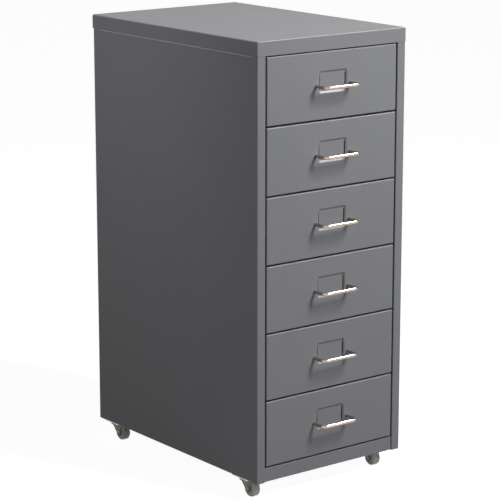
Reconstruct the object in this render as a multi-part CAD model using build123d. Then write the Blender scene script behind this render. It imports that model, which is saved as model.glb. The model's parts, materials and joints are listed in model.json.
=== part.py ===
"""Small metal drawer cabinet on four swivel castors.

Millimetres.  +Z is up, the front faces -Y, and +X is to the right as seen from the front.
The origin lies on the floor, under the middle of the whole object with its handles.
Side panels, runners and castors are built for the right-hand side and mirrored.
"""
import os
from math import radians, sqrt, tan

from build123d import *

# ---------------------------------------------------------------- cabinet
HOOD_WIDTH = 280.0          # across the side skirts of the hood
HOOD_DEPTH = 420.0          # from front skirt to rear skirt
HOOD_SKIRT = 21.5           # height of the skirts
HOOD_SHEET = 0.8
HOOD_EDGE_RADIUS = 1.5      # outside of the bends along the top edges
HOOD_CORNER_RADIUS = 0.8    # upright corners of the skirts
HOOD_CORNER_RELIEF = 1.5    # notch where two bends meet at a top corner

CASING_SHEET = 0.7
CASING_BEND = 0.8           # bend radius, measured at the middle of the sheet
BODY_INSET = 0.3            # casing faces behind the faces of the hood
SHOULDER_RISE = 1.5         # sloping step below the hood's side skirt
SHOULDER_BEND = 0.5
SHOULDER_END = 6.0          # the step stops short of the corners
HOOD_FIT = 0.2              # between skirt and the casing inside it
STRIP_WIDTH = 14.85         # plain strip beside the drawer fronts
STRIP_LIP = 12.0            # strip's edge turned in, measured from the front face
STRIP_TOP_GAP = 0.3         # between strip and hood skirt
REAR_FLANGE = 15.0
TOP_FLANGE = 12.0
BOTTOM_FLANGE = 44.0        # wide enough to back the castor plates
BACK_SHEET = 0.7
BACK_RECESS = 2.0           # outer face of the back panel behind the hood's rear skirt

BASE_SHEET = 0.8
BASE_BEND = 1.0
BASE_FIT = 0.5              # between base panel and the side panels' folds
BASE_REAR_FLANGE = 18.0
RAIL_HEIGHT = 21.7          # front rail below the lowest drawer
RAIL_RECESS = 1.8           # rail face behind the strips
RAIL_RETURN = 12.0
RAIL_HEM = 6.0

# ---------------------------------------------------------------- drawers
DRAWER_COUNT = 6
FRONT_HEIGHT = 99.6
DRAWER_GAP = 2.5            # between two fronts, and below the lowest one
HOOD_GAP = 2.0              # between the top front and the hood
SIDE_GAP = 2.5              # between a front and the strip beside it
FRONT_SHEET = 0.8
FRONT_FOLD = 12.0           # depth of the folded rim
FRONT_LIP = 14.0            # rim turned in again, carries the tray
FRONT_EDGE_RADIUS = 1.6
FRONT_CORNER_RADIUS = 1.2

POCKET_WIDTH = 54.0         # label pocket, measured at the face
POCKET_HEIGHT = 33.0
POCKET_DEPTH = 2.3
POCKET_RISE = 5.3           # centre of the pocket above the centre of the front
POCKET_TAPER = 52.0         # lean of its walls, degrees
POCKET_CORNER_RADIUS = 4.0
POCKET_RIM_RADIUS = 0.7
SLIT_HEIGHT = 22.4          # open slit at the foot of each side wall of the pocket
SLIT_WIDTH = 1.5
SLIT_INTO_FLOOR = 0.6       # how far the slit runs into the pocket's floor

HANDLE_SPACING = 64.0       # between the centres of the two legs
HANDLE_WIRE = 5.0
HANDLE_REACH = 27.0         # front face to the outside of the bar
HANDLE_BEND = 8.0           # bend radius at the middle of the wire
HANDLE_SCREW = 3.0
HANDLE_SCREW_DEPTH = 7.0    # length of thread inside a leg
HANDLE_SCREW_HEAD = 6.0
HANDLE_SCREW_HEAD_HEIGHT = 2.0
SCREW_HOLE_FIT = 0.2        # on the radius, where a screw passes a sheet
THREAD_FIT = 0.03           # on the radius, where a screw holds
DRIVER_HOLE = 9.0           # in the tray, behind each handle screw

TRAY_SHEET = 0.7
TRAY_BEND = 1.4             # at the middle of the sheet
TRAY_HEIGHT = 82.0
TRAY_TOP_DROP = 11.8        # top of the tray below the top of its front
TRAY_REAR_SPACE = 28.0      # between tray and back panel
TRAY_REAR_DROP = 14.0       # rear wall lower than the side walls
HOOK_WIDTH = 12.5           # folded edge that hangs in the runner
HOOK_DROP = 9.0
HOOK_SIDE_FIT = 0.45        # between hooked edge and strip lip
EAR_WIDTH = 12.0            # stop ear beyond the hooked edge
EAR_LENGTH = 12.0

RUNNER_SHEET = 1.0
RUNNER_BEND = 1.2           # at the middle of the sheet
RUNNER_SIDE_FIT = 0.7       # between runner shelves and the tray's wall
RUNNER_LOWER_FIT = 0.3      # hooked edge above the lower shelf
RUNNER_UPPER_FIT = 0.6      # hooked edge below the upper shelf
RUNNER_REAR_SPACE = 20.0    # between runner and back panel
CLOSED_GAP = 0.5            # front's rim ahead of the runners when shut
DRAWER_TRAVEL = 300.0
STOP_FIT = 0.4              # ear behind the stop tab at full travel
STOP_WIDTH = 9.0
STOP_DROP = 5.0
STOP_EDGE = 1.6             # stop tab inward of the runner's web

# ---------------------------------------------------------------- castors
CASTOR_SIDE_INSET = 21.0    # pivot from the hood's side
CASTOR_FRONT_INSET = 46.5   # pivot from the hood's front
CASTOR_REAR_INSET = 30.5    # pivot from the hood's rear
CASTOR_TRAIL = 8.0          # wheel axle beside the pivot, ahead of it at rest
PLATE_SIZE = 40.0
PLATE_SHEET = 1.2
PLATE_CORNER_RADIUS = 5.0
PLATE_HOLE_SPACING = 29.0
RACE_HEIGHT = 2.1
RACE_TOP_RADIUS = 15.5
RACE_RADIUS = 12.5
KINGPIN_DIAMETER = 6.0
KINGPIN_HEAD = 8.4
KINGPIN_HEAD_HEIGHT = 0.9
SWIVEL_FIT = 0.3            # running clearance of the swivel

WHEEL_DIAMETER = 25.0
WHEEL_WIDTH = 12.0
WHEEL_EDGE_RADIUS = 2.4
WHEEL_RIM = 3.2             # width of the rim ring
WHEEL_HUB_DIAMETER = 9.0
WHEEL_DISH = 1.6            # depth of the hollow between rim and hub
AXLE_DIAMETER = 3.0
AXLE_FIT = 0.1              # on the radius, wheel bore round its axle
AXLE_HEAD = 5.2
AXLE_HEAD_HEIGHT = 0.8
FORK_SIDE_FIT = 0.5         # between wheel and fork leg
FORK_TOP_FIT = 0.8          # between wheel and fork crown
FORK_CROWN = 2.8
FORK_LEG = 2.5
FORK_CROWN_RADIUS = 15.0
FORK_CROWN_REACH = 14.0     # crown over the wheel, from the pivot
FORK_FOOT_RADIUS = 4.4

# ---------------------------------------------------------------- fasteners
CASTOR_SCREW = 4.0
CASTOR_SCREW_HEAD = 6.5
CASTOR_SCREW_HEAD_HEIGHT = 2.2
CASTOR_SCREW_TIP = 3.0      # length above the base sheet
BACK_SCREW = 3.5
BACK_SCREW_HEAD = 7.0
BACK_SCREW_HEAD_HEIGHT = 1.6
BACK_SCREW_TIP = 4.0        # length inside the flange
BACK_SCREWS_PER_SIDE = 5
BACK_SCREW_END = 40.0       # outermost screws from the ends of the panel
BACK_SCREW_BASE_HEIGHT = 12.0
HEAD_EDGE_SHARE = 0.45      # rounding of a screw head, of its height

# ---------------------------------------------------------------- shared places
CROWN_BOTTOM = WHEEL_DIAMETER + FORK_TOP_FIT
CROWN_TOP = CROWN_BOTTOM + FORK_CROWN
RACE_BOTTOM = CROWN_TOP + SWIVEL_FIT
PLATE_BOTTOM = RACE_BOTTOM + RACE_HEIGHT
CASTOR_HEIGHT = PLATE_BOTTOM + PLATE_SHEET

HOOD_HALF = HOOD_WIDTH / 2
BODY_HALF = HOOD_HALF - BODY_INSET
OVERALL_DEPTH = HOOD_DEPTH - BODY_INSET + HANDLE_REACH
FACE_Y = HANDLE_REACH - OVERALL_DEPTH / 2
HOOD_FRONT_Y = FACE_Y - BODY_INSET
HOOD_REAR_Y = HOOD_FRONT_Y + HOOD_DEPTH
BACK_OUTER_Y = HOOD_REAR_Y - BACK_RECESS
FLANGE_REAR_Y = BACK_OUTER_Y - BACK_SHEET

DRAWER_PITCH = FRONT_HEIGHT + DRAWER_GAP
RAIL_TOP = CASTOR_HEIGHT + RAIL_HEIGHT
STACK_TOP = RAIL_TOP + DRAWER_COUNT * DRAWER_PITCH
HOOD_BOTTOM = STACK_TOP + HOOD_GAP
CABINET_TOP = HOOD_BOTTOM + HOOD_SKIRT
HOOD_UNDERSIDE = CABINET_TOP - HOOD_SHEET

STRIP_EDGE = BODY_HALF - STRIP_WIDTH
WALL_INNER = BODY_HALF - CASING_SHEET
FRONT_HALF = STRIP_EDGE - SIDE_GAP
BASE_TOP = CASTOR_HEIGHT + BASE_SHEET + CASING_SHEET

HOOK_OUTER = STRIP_EDGE - HOOK_SIDE_FIT
TRAY_OUTER = HOOK_OUTER - HOOK_WIDTH
TRAY_FRONT_Y = FACE_Y + FRONT_FOLD
TRAY_REAR_Y = FLANGE_REAR_Y - TRAY_REAR_SPACE
TRAY_TOP = FRONT_HEIGHT / 2 - TRAY_TOP_DROP
TRAY_BOTTOM = TRAY_TOP - TRAY_HEIGHT
EAR_FRONT_Y = TRAY_REAR_Y - EAR_LENGTH

RUNNER_FRONT_Y = TRAY_FRONT_Y + CLOSED_GAP
RUNNER_REAR_Y = FLANGE_REAR_Y - RUNNER_REAR_SPACE
RUNNER_INNER = TRAY_OUTER + RUNNER_SIDE_FIT
RUNNER_SHELF = TRAY_TOP - HOOK_DROP - RUNNER_LOWER_FIT
RUNNER_CEILING = TRAY_TOP + RUNNER_UPPER_FIT
STOP_REAR_Y = EAR_FRONT_Y - STOP_FIT - DRAWER_TRAVEL

WHEEL_RADIUS = WHEEL_DIAMETER / 2
LEG_INNER = WHEEL_WIDTH / 2 + FORK_SIDE_FIT
LEG_OUTER = LEG_INNER + FORK_LEG
CASTOR_X = HOOD_HALF - CASTOR_SIDE_INSET
CASTOR_FRONT_Y = HOOD_FRONT_Y + CASTOR_FRONT_INSET
CASTOR_REAR_Y = HOOD_REAR_Y - CASTOR_REAR_INSET

CUT_MARGIN = 1.0            # how far a cutting tool runs past the surface it cuts


# ---------------------------------------------------------------- helpers
def block(x0, x1, y0, y1, z0, z1):
    """A box between two corners."""
    size = (x1 - x0, y1 - y0, z1 - z0)
    return Pos((x0 + x1) / 2, (y0 + y1) / 2, (z0 + z1) / 2) * Box(*size)


def folded_along_y(points, sheet, bend, y0, y1):
    """Sheet bent along the XZ points of its middle line, running from y0 to y1."""
    plane = Plane((0, y1, 0), x_dir=(1, 0, 0), z_dir=(0, -1, 0))
    middle = FilletPolyline(*points, radius=bend)
    return extrude(plane * trace(middle, line_width=sheet), y1 - y0)


def folded_along_z(points, sheet, bend, z0, z1):
    """Sheet bent along the XY points of its middle line, running from z0 to z1."""
    middle = FilletPolyline(*points, radius=bend)
    return Pos(0, 0, z0) * extrude(trace(middle, line_width=sheet), z1 - z0)


def folded_along_x(points, sheet, bend, x0, x1):
    """Sheet bent along the YZ points of its middle line, running from x0 to x1."""
    plane = Plane((x0, 0, 0), x_dir=(0, 1, 0), z_dir=(1, 0, 0))
    middle = FilletPolyline(*points, radius=bend)
    return extrude(plane * trace(middle, line_width=sheet), x1 - x0)


def rod(start, direction, radius, length):
    """A round bar from a point, along a direction."""
    return extrude(Plane(start, z_dir=direction) * Circle(radius), length)


def screw(seat, direction, diameter, length, head, head_height):
    """Pan-head screw: its head's flat lies at the seat, its shank runs along the direction."""
    seat = Vector(*seat)
    direction = Vector(*direction).normalized()
    cap = rod(seat - direction * head_height, direction, head / 2, head_height)
    rim = cap.edges().filter_by(GeomType.CIRCLE).sort_by(
        lambda edge: (edge.center() - seat).dot(direction))[0]
    cap = fillet(rim, head_height * HEAD_EDGE_SHARE)
    return cap + rod(seat, direction, diameter / 2, length)


def spread(first, last, count):
    """Evenly spaced places from first to last."""
    step = (last - first) / (count - 1)
    return [first + index * step for index in range(count)]


# ---------------------------------------------------------------- casing
def back_screw_places():
    """XZ places of the screws in the back panel."""
    side_x = BODY_HALF - REAR_FLANGE / 2
    heights = spread(CASTOR_HEIGHT + BACK_SCREW_END, HOOD_BOTTOM - BACK_SCREW_END, BACK_SCREWS_PER_SIDE)
    sides = [(side * side_x, height) for side in (-1, 1) for height in heights]
    base_z = BASE_TOP + BACK_SCREW_BASE_HEIGHT
    return sides + [(side * STRIP_EDGE / 2, base_z) for side in (-1, 1)]


def back_screw_holes():
    """Round tools that drill the back panel and what lies behind it."""
    depth = BACK_RECESS + BACK_SCREW_TIP + 2 * CUT_MARGIN
    radius = BACK_SCREW / 2 + THREAD_FIT
    return [rod((x, HOOD_REAR_Y, z), (0, -1, 0), radius, depth) for x, z in back_screw_places()]


def castor_screw_places():
    """XY places of the screws round each castor pivot."""
    half = PLATE_HOLE_SPACING / 2
    pivots = [(sx * CASTOR_X, y) for sx in (-1, 1) for y in (CASTOR_FRONT_Y, CASTOR_REAR_Y)]
    return [(x + dx, y + dy) for x, y in pivots for dx in (-half, half) for dy in (-half, half)]


def castor_screw_holes():
    """Round tools that drill the casing's floor for the castor screws."""
    height = BASE_TOP - CASTOR_HEIGHT + 2 * CUT_MARGIN
    radius = CASTOR_SCREW / 2 + THREAD_FIT
    places = castor_screw_places()
    return [rod((x, y, CASTOR_HEIGHT - CUT_MARGIN), (0, 0, 1), radius, height) for x, y in places]


def make_top_panel():
    """Hood: a flat top with a skirt folded down on all four sides."""
    outer = block(-HOOD_HALF, HOOD_HALF, HOOD_FRONT_Y, HOOD_REAR_Y, HOOD_BOTTOM, CABINET_TOP)
    outer = fillet(outer.edges().filter_by(Axis.Z), HOOD_CORNER_RADIUS)
    outer = fillet(outer.faces().sort_by(Axis.Z)[-1].edges(), HOOD_EDGE_RADIUS)
    half = HOOD_HALF - HOOD_SHEET
    front = HOOD_FRONT_Y + HOOD_SHEET
    rear = HOOD_REAR_Y - HOOD_SHEET
    inner = block(-half, half, front, rear, HOOD_BOTTOM - CUT_MARGIN, HOOD_UNDERSIDE)
    inner = fillet(inner.faces().sort_by(Axis.Z)[-1].edges(), HOOD_EDGE_RADIUS - HOOD_SHEET)
    hood = outer - inner
    notch = Box(2 * HOOD_CORNER_RELIEF, 2 * HOOD_CORNER_RELIEF, 2 * HOOD_CORNER_RELIEF)
    corners = [(sx * HOOD_HALF, y) for sx in (-1, 1) for y in (HOOD_FRONT_Y, HOOD_REAR_Y)]
    for x, y in corners:
        hood -= Pos(x, y, CABINET_TOP) * notch
    return hood


def make_right_side_panel():
    """Side wall with a front strip, rear, top and bottom flanges and the step below the hood."""
    wall = BODY_HALF - CASING_SHEET / 2
    upper_wall = HOOD_HALF - HOOD_SHEET - HOOD_FIT - CASING_SHEET / 2
    floor_z = CASTOR_HEIGHT + BASE_SHEET + CASING_SHEET / 2
    top_z = HOOD_UNDERSIDE - CASING_SHEET / 2
    profile = [
        (BODY_HALF - BOTTOM_FLANGE, floor_z),
        (wall, floor_z),
        (wall, HOOD_BOTTOM - SHOULDER_RISE),
        (upper_wall, HOOD_BOTTOM),
        (upper_wall, top_z),
        (upper_wall - TOP_FLANGE, top_z),
    ]
    bends = [CASING_BEND, SHOULDER_BEND, SHOULDER_BEND, CASING_BEND]
    panel = folded_along_y(
        profile, CASING_SHEET, bends, FACE_Y + SHOULDER_END, FLANGE_REAR_Y - SHOULDER_END)

    strip_top = HOOD_BOTTOM - STRIP_TOP_GAP
    strip_y = FACE_Y + CASING_SHEET / 2
    lip_x = STRIP_EDGE + CASING_SHEET / 2
    strip = [(wall, FACE_Y + STRIP_LIP), (wall, strip_y), (lip_x, strip_y), (lip_x, FACE_Y + STRIP_LIP)]
    panel += folded_along_z(strip, CASING_SHEET, CASING_BEND, CASTOR_HEIGHT, strip_top)

    flange_y = FLANGE_REAR_Y - CASING_SHEET / 2
    flange = [(wall, FLANGE_REAR_Y - STRIP_LIP), (wall, flange_y), (BODY_HALF - REAR_FLANGE, flange_y)]
    panel += folded_along_z(flange, CASING_SHEET, CASING_BEND, CASTOR_HEIGHT, strip_top)
    for tool in back_screw_holes() + castor_screw_holes():
        panel -= tool
    return panel


def make_back_panel():
    """Flat sheet screwed onto the rear flanges."""
    half = HOOD_HALF - HOOD_SHEET - HOOD_FIT
    top = HOOD_UNDERSIDE - (HOOD_EDGE_RADIUS - HOOD_SHEET)
    panel = block(-half, half, FLANGE_REAR_Y, BACK_OUTER_Y, CASTOR_HEIGHT, top)
    for tool in back_screw_holes():
        panel -= tool
    return panel


def make_base_panel():
    """Floor under the side panels' flanges, with the front rail and a rear flange folded up from it."""
    half = STRIP_EDGE - BASE_FIT
    rear_y = FLANGE_REAR_Y - BASE_SHEET / 2
    rail_y = FACE_Y + RAIL_RECESS + BASE_SHEET / 2
    floor_z = CASTOR_HEIGHT + BASE_SHEET / 2
    rail_z = RAIL_TOP - BASE_SHEET / 2
    profile = [
        (rear_y, floor_z + BASE_REAR_FLANGE),
        (rear_y, floor_z),
        (rail_y, floor_z),
        (rail_y, rail_z),
        (rail_y + RAIL_RETURN, rail_z),
        (rail_y + RAIL_RETURN, rail_z - RAIL_HEM),
    ]
    panel = folded_along_x(profile, BASE_SHEET, BASE_BEND, -half, half)
    wide = WALL_INNER - BASE_FIT
    front = FACE_Y + STRIP_LIP + BASE_FIT
    rear = FLANGE_REAR_Y - CASING_SHEET - CASING_BEND - BASE_FIT
    panel += block(-wide, wide, front, rear, CASTOR_HEIGHT, CASTOR_HEIGHT + BASE_SHEET)
    for tool in back_screw_holes() + castor_screw_holes():
        panel -= tool
    return panel


def make_panel_screws():
    """Screws of the back panel, as a group."""
    length = BACK_SHEET + BACK_SCREW_TIP
    return [
        screw((x, BACK_OUTER_Y, z), (0, -1, 0), BACK_SCREW, length, BACK_SCREW_HEAD, BACK_SCREW_HEAD_HEIGHT)
        for x, z in back_screw_places()
    ]


def make_right_runner():
    """Folded channel on the side wall, with a stop tab bent down from its upper shelf."""
    web = WALL_INNER - RUNNER_SHEET / 2
    lower = RUNNER_SHELF - RUNNER_SHEET / 2
    upper = RUNNER_CEILING + RUNNER_SHEET / 2
    profile = [(RUNNER_INNER, lower), (web, lower), (web, upper), (RUNNER_INNER, upper)]
    runner = folded_along_y(profile, RUNNER_SHEET, RUNNER_BEND, RUNNER_FRONT_Y, RUNNER_REAR_Y)
    tab_x1 = WALL_INNER - RUNNER_SHEET - STOP_EDGE
    tab_x0 = tab_x1 - STOP_WIDTH
    tab_y0 = STOP_REAR_Y - RUNNER_SHEET
    ceiling_top = RUNNER_CEILING + RUNNER_SHEET
    window = block(tab_x0, tab_x1, tab_y0 - STOP_DROP, tab_y0, RUNNER_CEILING - CUT_MARGIN,
                   ceiling_top + CUT_MARGIN)
    tab = block(tab_x0, tab_x1, tab_y0, STOP_REAR_Y, RUNNER_CEILING - STOP_DROP, ceiling_top)
    return runner - window + tab


# ---------------------------------------------------------------- drawer pieces, centred on the front
def pocket_block(depth0, depth1, grow):
    """Tapered block behind the face, from one depth to another, for the label pocket."""
    corner = POCKET_CORNER_RADIUS + grow
    plane = Plane((0, FACE_Y + depth0, POCKET_RISE), x_dir=(1, 0, 0), z_dir=(0, 1, 0))
    outline = RectangleRounded(POCKET_WIDTH + 2 * grow, POCKET_HEIGHT + 2 * grow, corner)
    return extrude(plane * outline, depth1 - depth0, taper=POCKET_TAPER)


def make_drawer_front():
    """Folded front with a turned-in rim, a label pocket and two screw holes."""
    half_z = FRONT_HEIGHT / 2
    rear = FACE_Y + FRONT_FOLD
    pan = block(-FRONT_HALF, FRONT_HALF, FACE_Y, rear, -half_z, half_z)
    pan = fillet(pan.edges().filter_by(Axis.Y), FRONT_CORNER_RADIUS)
    pan = fillet(pan.faces().sort_by(Axis.Y)[0].edges(), FRONT_EDGE_RADIUS)
    hollow_x = FRONT_HALF - FRONT_SHEET
    hollow_z = half_z - FRONT_SHEET
    inside = FACE_Y + FRONT_SHEET
    hollow = block(-hollow_x, hollow_x, inside, rear - FRONT_SHEET, -hollow_z, hollow_z)
    hollow = fillet(hollow.faces().sort_by(Axis.Y)[0].edges(), FRONT_EDGE_RADIUS - FRONT_SHEET)
    mouth_x = FRONT_HALF - FRONT_LIP
    mouth_z = half_z - FRONT_LIP
    mouth = block(-mouth_x, mouth_x, inside, rear + CUT_MARGIN, -mouth_z, mouth_z)
    pan = pan - hollow - mouth

    pan += pocket_block(FRONT_SHEET, FRONT_SHEET + POCKET_DEPTH, 0.0)
    pan -= pocket_block(0.0, POCKET_DEPTH, 0.0)
    rim = pan.edges().filter_by_position(Axis.Y, FACE_Y - 0.01, FACE_Y + 0.01)
    rim = rim.filter_by(lambda edge: abs(edge.center().X) <= POCKET_WIDTH / 2 + 0.01
                        and abs(edge.center().Z - POCKET_RISE) <= POCKET_HEIGHT / 2 + 0.01)
    pan = fillet(rim, POCKET_RIM_RADIUS)
    wall_foot = POCKET_WIDTH / 2 - POCKET_DEPTH * tan(radians(POCKET_TAPER))
    slit_inner = wall_foot - SLIT_INTO_FLOOR
    low = POCKET_RISE - SLIT_HEIGHT / 2
    deep = FACE_Y + POCKET_DEPTH + FRONT_SHEET + CUT_MARGIN
    for side in (-1, 1):
        x0, x1 = sorted((side * slit_inner, side * (slit_inner + SLIT_WIDTH)))
        pan -= block(x0, x1, inside, deep, low, low + SLIT_HEIGHT)
        hole = (side * HANDLE_SPACING / 2, FACE_Y - CUT_MARGIN, 0)
        pan -= rod(hole, (0, 1, 0), HANDLE_SCREW / 2 + SCREW_HOLE_FIT, FRONT_SHEET + 2 * CUT_MARGIN)
    return pan


def make_drawer_tray():
    """Folded tray: hooked side edges, end walls, stop ears and holes behind the handle screws."""
    wall = TRAY_OUTER - TRAY_SHEET / 2
    hook = HOOK_OUTER - TRAY_SHEET / 2
    top = TRAY_TOP - TRAY_SHEET / 2
    bottom = TRAY_BOTTOM + TRAY_SHEET / 2
    half_profile = [(hook, TRAY_TOP - HOOK_DROP), (hook, top), (wall, top), (wall, bottom)]
    profile = half_profile + [(-x, z) for x, z in reversed(half_profile)]
    tray = folded_along_y(profile, TRAY_SHEET, TRAY_BEND, TRAY_FRONT_Y, TRAY_REAR_Y)
    end_top = TRAY_TOP - TRAY_BEND - TRAY_SHEET / 2
    end_bottom = TRAY_BOTTOM + TRAY_BEND + TRAY_SHEET / 2
    front_back = TRAY_FRONT_Y + TRAY_SHEET
    rear_front = TRAY_REAR_Y - TRAY_SHEET
    for y0, y1, z1 in ((TRAY_FRONT_Y, front_back, end_top), (rear_front, TRAY_REAR_Y, TRAY_TOP - TRAY_REAR_DROP)):
        tray += block(-TRAY_OUTER, TRAY_OUTER, y0, y1, end_bottom, z1)
        foot = TRAY_OUTER - TRAY_BEND - TRAY_SHEET / 2
        tray += block(-foot, foot, y0, y1, TRAY_BOTTOM, end_bottom)
    for side in (-1, 1):
        x0, x1 = sorted((side * (wall + TRAY_BEND), side * (HOOK_OUTER + EAR_WIDTH)))
        tray += block(x0, x1, EAR_FRONT_Y, TRAY_REAR_Y, TRAY_TOP - TRAY_SHEET, TRAY_TOP)
        hole = (side * HANDLE_SPACING / 2, TRAY_FRONT_Y - CUT_MARGIN, 0)
        tray -= rod(hole, (0, 1, 0), DRIVER_HOLE / 2, TRAY_SHEET + 2 * CUT_MARGIN)
    return tray


def make_handle():
    """Bent wire handle with a threaded hole in each end."""
    half = HANDLE_SPACING / 2
    bar_y = FACE_Y - HANDLE_REACH + HANDLE_WIRE / 2
    route = FilletPolyline(
        (-half, FACE_Y, 0), (-half, bar_y, 0), (half, bar_y, 0), (half, FACE_Y, 0), radius=HANDLE_BEND)
    section = Plane((-half, FACE_Y, 0), z_dir=(0, -1, 0)) * Circle(HANDLE_WIRE / 2)
    handle = sweep(section, path=route)
    for side in (-1, 1):
        mouth = (side * half, FACE_Y + CUT_MARGIN, 0)
        depth = HANDLE_SCREW_DEPTH + 2 * CUT_MARGIN
        handle -= rod(mouth, (0, -1, 0), HANDLE_SCREW / 2 + THREAD_FIT, depth)
    return handle


def make_handle_screws():
    """The two screws of a handle, as a group."""
    length = FRONT_SHEET + HANDLE_SCREW_DEPTH
    return [
        screw((side * HANDLE_SPACING / 2, FACE_Y + FRONT_SHEET, 0), (0, -1, 0), HANDLE_SCREW, length,
              HANDLE_SCREW_HEAD, HANDLE_SCREW_HEAD_HEIGHT)
        for side in (-1, 1)
    ]


# ---------------------------------------------------------------- castor pieces, pivot on the Z axis
def make_castor_plate():
    """Square plate with the flared ball race and the kingpin riveted into it."""
    plate = extrude(RectangleRounded(PLATE_SIZE, PLATE_SIZE, PLATE_CORNER_RADIUS), PLATE_SHEET)
    plate = Pos(0, 0, PLATE_BOTTOM) * plate
    head_top = CROWN_BOTTOM + KINGPIN_HEAD_HEIGHT + SWIVEL_FIT / 2
    head_bottom = head_top - KINGPIN_HEAD_HEIGHT
    pin = KINGPIN_DIAMETER / 2
    head = KINGPIN_HEAD / 2
    flare = RadiusArc((RACE_TOP_RADIUS, PLATE_BOTTOM), (RACE_RADIUS, RACE_BOTTOM), -2 * RACE_HEIGHT)
    sides = Polyline(
        (RACE_RADIUS, RACE_BOTTOM), (pin, RACE_BOTTOM), (pin, head_top), (head, head_top), (head, head_bottom),
        (0, head_bottom), (0, PLATE_BOTTOM), (RACE_TOP_RADIUS, PLATE_BOTTOM))
    core = revolve(Plane.XZ * make_face([flare, sides]), Axis.Z)
    plate += core
    for dx in (-1, 1):
        for dy in (-1, 1):
            place = (dx * PLATE_HOLE_SPACING / 2, dy * PLATE_HOLE_SPACING / 2, PLATE_BOTTOM - CUT_MARGIN)
            hole_radius = CASTOR_SCREW / 2 + SCREW_HOLE_FIT
            plate -= rod(place, (0, 0, 1), hole_radius, PLATE_SHEET + 2 * CUT_MARGIN)
    return plate


def make_castor_fork():
    """Fork: a round crown over the wheel and two legs that narrow down to the axle."""
    crown = Circle(FORK_CROWN_RADIUS)
    crown += Pos(0, FORK_CROWN_REACH / 2) * Rectangle(2 * LEG_OUTER, FORK_CROWN_REACH)
    fork = Pos(0, 0, CROWN_BOTTOM) * extrude(crown, FORK_CROWN)
    rim = fork.faces().sort_by(Axis.Z)[-1].edges()
    fork = fillet(rim, FORK_CROWN / 3)
    root_z = (CROWN_BOTTOM + CROWN_TOP) / 2
    root_far = sqrt(FORK_CROWN_RADIUS ** 2 - LEG_OUTER ** 2)
    foot = Pos(CASTOR_TRAIL, WHEEL_RADIUS) * Circle(FORK_FOOT_RADIUS)
    root = Line((-root_far, root_z), (FORK_CROWN_REACH, root_z))
    leg_face = make_hull(foot.edges() + ShapeList([root]))
    for x0 in (LEG_INNER, -LEG_OUTER):
        plane = Plane((x0, 0, 0), x_dir=(0, 1, 0), z_dir=(1, 0, 0))
        fork += extrude(plane * leg_face, FORK_LEG)
    ceiling = CROWN_BOTTOM + KINGPIN_HEAD_HEIGHT + 3 * SWIVEL_FIT / 2
    below = (0, 0, CROWN_BOTTOM - CUT_MARGIN)
    fork -= rod(below, (0, 0, 1), KINGPIN_HEAD / 2 + SWIVEL_FIT, ceiling - CROWN_BOTTOM + CUT_MARGIN)
    fork -= rod(below, (0, 0, 1), KINGPIN_DIAMETER / 2 + SWIVEL_FIT, CROWN_TOP)
    fork -= rod((-LEG_OUTER - CUT_MARGIN, CASTOR_TRAIL, WHEEL_RADIUS), (1, 0, 0), AXLE_DIAMETER / 2,
                2 * (LEG_OUTER + CUT_MARGIN))
    return fork


def make_castor_axle():
    """Riveted axle pin with a flat head outside each leg."""
    centre = (-LEG_OUTER, CASTOR_TRAIL, WHEEL_RADIUS)
    axle = rod(centre, (1, 0, 0), AXLE_DIAMETER / 2, 2 * LEG_OUTER)
    for x in (-LEG_OUTER - AXLE_HEAD_HEIGHT, LEG_OUTER):
        axle += rod((x, CASTOR_TRAIL, WHEEL_RADIUS), (1, 0, 0), AXLE_HEAD / 2, AXLE_HEAD_HEIGHT)
    return axle


def make_castor_wheel():
    """Plain wheel with rounded tread edges and dished faces."""
    bore = AXLE_DIAMETER / 2 + AXLE_FIT
    half = WHEEL_WIDTH / 2
    hub = WHEEL_HUB_DIAMETER / 2
    rim = WHEEL_RADIUS - WHEEL_RIM
    outline = Polyline(
        (-half, bore), (-half, hub), (-half + WHEEL_DISH, hub), (-half + WHEEL_DISH, rim), (-half, rim),
        (-half, WHEEL_RADIUS), (half, WHEEL_RADIUS), (half, rim), (half - WHEEL_DISH, rim),
        (half - WHEEL_DISH, hub), (half, hub), (half, bore), (-half, bore))
    wheel = revolve(make_face(outline), Axis.X)
    tread = wheel.edges().filter_by(GeomType.CIRCLE).filter_by(
        lambda edge: edge.radius > WHEEL_RADIUS - AXLE_FIT)
    wheel = fillet(tread, WHEEL_EDGE_RADIUS)
    return Pos(0, CASTOR_TRAIL, WHEEL_RADIUS) * wheel


def make_castor_screws():
    """Screws of all four castors, as a group."""
    length = BASE_TOP - PLATE_BOTTOM + CASTOR_SCREW_TIP
    return [
        screw((x, y, PLATE_BOTTOM), (0, 0, 1), CASTOR_SCREW, length, CASTOR_SCREW_HEAD, CASTOR_SCREW_HEAD_HEIGHT)
        for x, y in castor_screw_places()
    ]


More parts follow.
